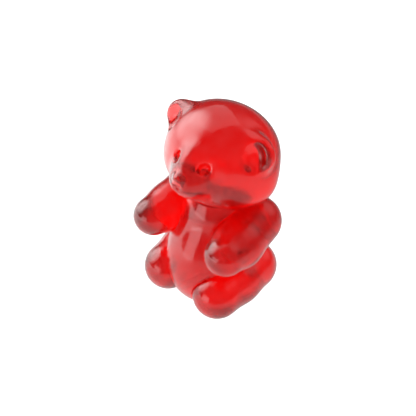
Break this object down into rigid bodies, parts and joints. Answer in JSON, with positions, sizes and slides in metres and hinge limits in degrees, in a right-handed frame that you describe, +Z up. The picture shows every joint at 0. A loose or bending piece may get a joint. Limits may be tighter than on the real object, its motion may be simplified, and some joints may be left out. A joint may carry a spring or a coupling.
{
  "type": "vinyl art toy",
  "caption": "Seated bear figure in clear red vinyl, whose head turns on a neck post and whose arms and legs swing outwards on upright pins.",
  "frame": {"origin": "middle of the flat base, on the surface that the bear sits on", "axes": "+Z up through the head, -Y the way that the bear faces, +X towards the bear's left"},
  "size_m": [0.0654, 0.0608, 0.0994],
  "materials": {
    "clear_red_vinyl": "clear, solid-cast, high gloss",
    "deep_red_acrylic": "clear, hard, glossy"
  },
  "bodies": {
    "torso": {"torso": "clear_red_vinyl", "neck_post": "deep_red_acrylic", "neck_washer": "deep_red_acrylic", "shoulder_bar": "deep_red_acrylic", "hip_bar": "deep_red_acrylic"},
    "head": {"head": "clear_red_vinyl"},
    "arm_left": {"arm_left": "clear_red_vinyl", "shoulder_pin_left": "deep_red_acrylic"},
    "arm_right": {"arm_right": "clear_red_vinyl", "shoulder_pin_right": "deep_red_acrylic"},
    "leg_left": {"leg_left": "clear_red_vinyl", "hip_pin_left": "deep_red_acrylic"},
    "leg_right": {"leg_right": "clear_red_vinyl", "hip_pin_right": "deep_red_acrylic"}
  },
  "joints": [
    {"name": "neck_turn", "type": "hinge", "parent": "torso", "child": "head", "pos_m": [0, 0.002, 0.057], "axis": [0, 0, 1], "continuous": true},
    {"name": "shoulder_left", "type": "hinge", "parent": "torso", "child": "arm_left", "pos_m": [0.0195, 0.0067, 0.0446], "axis": [0, 0, 1], "range_deg": [0, 30]},
    {"name": "shoulder_right", "type": "hinge", "parent": "torso", "child": "arm_right", "pos_m": [-0.0195, 0.0067, 0.0446], "axis": [0, 0, -1], "range_deg": [0, 30]},
    {"name": "hip_left", "type": "hinge", "parent": "torso", "child": "leg_left", "pos_m": [0.0162, 0.0085, 0.0124], "axis": [0, 0, 1], "range_deg": [0, 30]},
    {"name": "hip_right", "type": "hinge", "parent": "torso", "child": "leg_right", "pos_m": [-0.0162, 0.0085, 0.0124], "axis": [0, 0, -1], "range_deg": [0, 30]}
  ]
}
